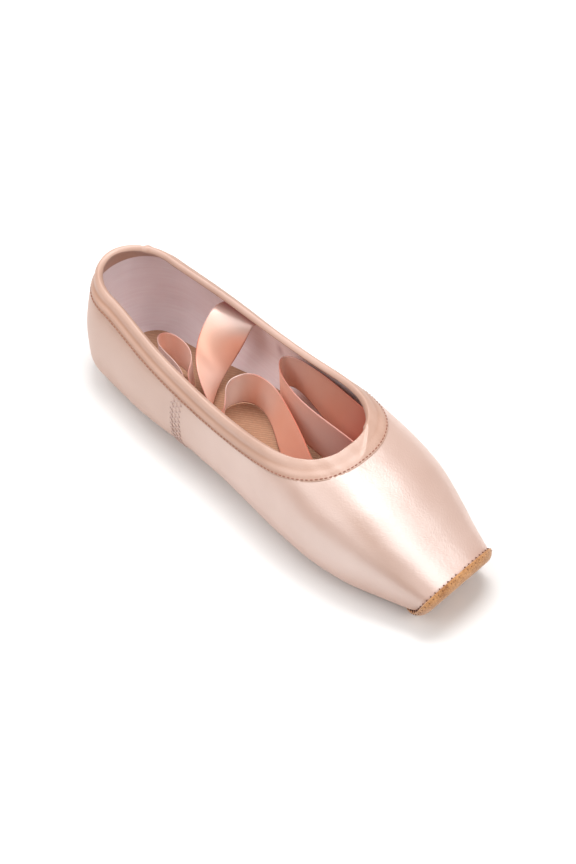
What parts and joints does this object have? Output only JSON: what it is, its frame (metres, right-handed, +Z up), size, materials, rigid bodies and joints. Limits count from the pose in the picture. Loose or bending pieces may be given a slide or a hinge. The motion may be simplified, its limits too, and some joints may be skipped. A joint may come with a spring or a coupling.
{
  "type": "pointe shoe",
  "caption": "Soft satin dance shoe with a stiff box and a flat suede-tipped platform at the toe, a narrow leather sole and tucked-in ankle ribbons.",
  "frame": {"origin": "on the floor under the middle of the shoe's bounding box", "axes": "+X to the toe, +Y to the wearer's left, +Z up"},
  "size_m": [0.2335, 0.0722, 0.0563],
  "materials": {
    "satin": "woven satin, soft sheen",
    "sole_leather": "buffed, scored",
    "canvas": "fine twill",
    "casing": "folded bias tape, stitched",
    "suede": "napped split, whip-stitched",
    "ribbon_satin": "satin ribbon"
  },
  "bodies": {
    "root": {"upper": "satin", "outsole": "sole_leather", "insole": "canvas", "binding": "casing", "platform_patch": "suede", "ribbon_right": "ribbon_satin", "ribbon_left": "ribbon_satin"}
  },
  "joints": []
}
